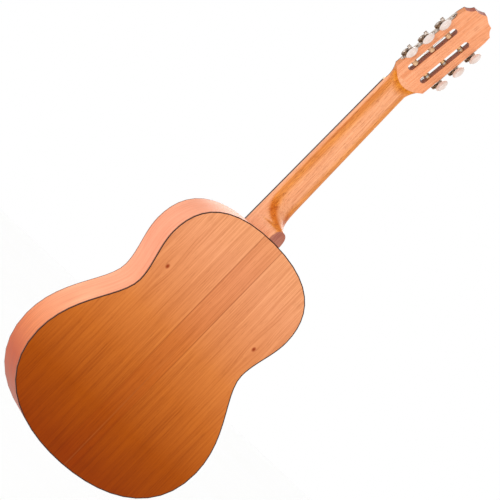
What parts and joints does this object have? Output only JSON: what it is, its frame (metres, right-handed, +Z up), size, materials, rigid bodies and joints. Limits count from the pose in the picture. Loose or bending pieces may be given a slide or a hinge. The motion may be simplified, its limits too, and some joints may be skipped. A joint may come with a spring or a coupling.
{
  "type": "classical guitar",
  "caption": "Full-size classical guitar with a waisted flat-backed body, slotted head, geared machine heads with pearl knobs, rosewood fingerboard and tie bridge.",
  "frame": {"origin": "middle of a hanger's fork under the shoulders of the head, half way through the head's thickness", "axes": "+Z up the neck, +X towards the treble side, +Y out of the back"},
  "size_m": [0.3736, 0.1088, 1.0048],
  "materials": {
    "back_wood": "satin cedar-toned veneer, warm orange brown",
    "rib_wood": "satin pale pinkish wood",
    "spruce": "straight-grained spruce, satin",
    "neck_wood": "satin light nato with dark pores",
    "rosewood": "dark rosewood, oiled",
    "binding": "dark edge binding",
    "bone": "cream nut and saddle",
    "nickel": "pale nickel plate",
    "brass": "brass gears",
    "barrel_plain": "cream string barrels",
    "barrel_brass": "brass-toned string barrels",
    "pearl": "pearl buttons",
    "nylon": "clear nylon",
    "wound": "silver-wound bass strings"
  },
  "bodies": {
    "guitar": {"back": "back_wood", "back_binding": "binding", "back_brace_1": "spruce", "back_brace_2": "spruce", "back_brace_3": "spruce", "back_lining": "spruce", "bridge": "rosewood", "fan_brace_1": "spruce", "fan_brace_2": "spruce", "fan_brace_3": "spruce", "fan_brace_4": "spruce", "fan_brace_5": "spruce", "fingerboard": "rosewood", "head_veneer": "rosewood", "heel_cap": "rosewood", "lower_harmonic_bar": "spruce", "machine_plate_bass": "nickel", "machine_plate_treble": "nickel", "neck": "neck_wood", "nut": "bone", "rib_bass": "rib_wood", "rib_treble": "rib_wood", "rosette": "rosewood", "saddle": "bone", "soundboard": "spruce", "string_1": "nylon", "string_2": "nylon", "string_3": "nylon", "string_4": "wound", "string_5": "wound", "string_6": "wound", "tail_block": "spruce", "top_binding": "binding", "top_lining": "spruce", "upper_harmonic_bar": "spruce"},
    "knob_1": {"button_1": "pearl", "worm_1": "nickel"},
    "barrel_1": {"gear_1": "brass", "roller_1": "barrel_plain"},
    "knob_2": {"button_2": "pearl", "worm_2": "nickel"},
    "barrel_2": {"gear_2": "brass", "roller_2": "barrel_plain"},
    "knob_3": {"button_3": "pearl", "worm_3": "nickel"},
    "barrel_3": {"gear_3": "brass", "roller_3": "barrel_plain"},
    "knob_4": {"button_4": "pearl", "worm_4": "nickel"},
    "barrel_4": {"gear_4": "brass", "roller_4": "barrel_brass"},
    "knob_5": {"button_5": "pearl", "worm_5": "nickel"},
    "barrel_5": {"gear_5": "brass", "roller_5": "barrel_brass"},
    "knob_6": {"button_6": "pearl", "worm_6": "nickel"},
    "barrel_6": {"gear_6": "brass", "roller_6": "barrel_brass"}
  },
  "joints": [
    {"name": "knob_1_turn", "type": "hinge", "parent": "guitar", "child": "knob_1", "pos_m": [0.0397, 0.01348, 0.04082], "axis": [0, 0.9563, -0.2924], "continuous": true},
    {"name": "barrel_1_turn", "type": "hinge", "parent": "guitar", "child": "barrel_1", "pos_m": [0.0397, 0.01056, 0.03126], "axis": [1, 0, 0], "continuous": true},
    {"name": "knob_2_turn", "type": "hinge", "parent": "guitar", "child": "knob_2", "pos_m": [0.0397, 0.02371, 0.07429], "axis": [0, 0.9563, -0.2924], "continuous": true},
    {"name": "barrel_2_turn", "type": "hinge", "parent": "guitar", "child": "barrel_2", "pos_m": [0.0397, 0.02079, 0.06473], "axis": [1, 0, 0], "continuous": true},
    {"name": "knob_3_turn", "type": "hinge", "parent": "guitar", "child": "knob_3", "pos_m": [0.0397, 0.03395, 0.10776], "axis": [0, 0.9563, -0.2924], "continuous": true},
    {"name": "barrel_3_turn", "type": "hinge", "parent": "guitar", "child": "barrel_3", "pos_m": [0.0397, 0.03103, 0.0982], "axis": [1, 0, 0], "continuous": true},
    {"name": "knob_4_turn", "type": "hinge", "parent": "guitar", "child": "knob_4", "pos_m": [-0.0397, 0.03395, 0.10776], "axis": [0, 0.9563, -0.2924], "continuous": true},
    {"name": "barrel_4_turn", "type": "hinge", "parent": "guitar", "child": "barrel_4", "pos_m": [-0.0397, 0.03103, 0.0982], "axis": [1, 0, 0], "continuous": true},
    {"name": "knob_5_turn", "type": "hinge", "parent": "guitar", "child": "knob_5", "pos_m": [-0.0397, 0.02371, 0.07429], "axis": [0, 0.9563, -0.2924], "continuous": true},
    {"name": "barrel_5_turn", "type": "hinge", "parent": "guitar", "child": "barrel_5", "pos_m": [-0.0397, 0.02079, 0.06473], "axis": [1, 0, 0], "continuous": true},
    {"name": "knob_6_turn", "type": "hinge", "parent": "guitar", "child": "knob_6", "pos_m": [-0.0397, 0.01348, 0.04082], "axis": [0, 0.9563, -0.2924], "continuous": true},
    {"name": "barrel_6_turn", "type": "hinge", "parent": "guitar", "child": "barrel_6", "pos_m": [-0.0397, 0.01056, 0.03126], "axis": [1, 0, 0], "continuous": true}
  ],
  "couplings": [
    {"joint": "barrel_1_turn", "follows": "knob_1_turn", "ratio": 0.071429},
    {"joint": "barrel_2_turn", "follows": "knob_2_turn", "ratio": 0.071429},
    {"joint": "barrel_3_turn", "follows": "knob_3_turn", "ratio": 0.071429},
    {"joint": "barrel_4_turn", "follows": "knob_4_turn", "ratio": -0.071429},
    {"joint": "barrel_5_turn", "follows": "knob_5_turn", "ratio": -0.071429},
    {"joint": "barrel_6_turn", "follows": "knob_6_turn", "ratio": -0.071429}
  ]
}
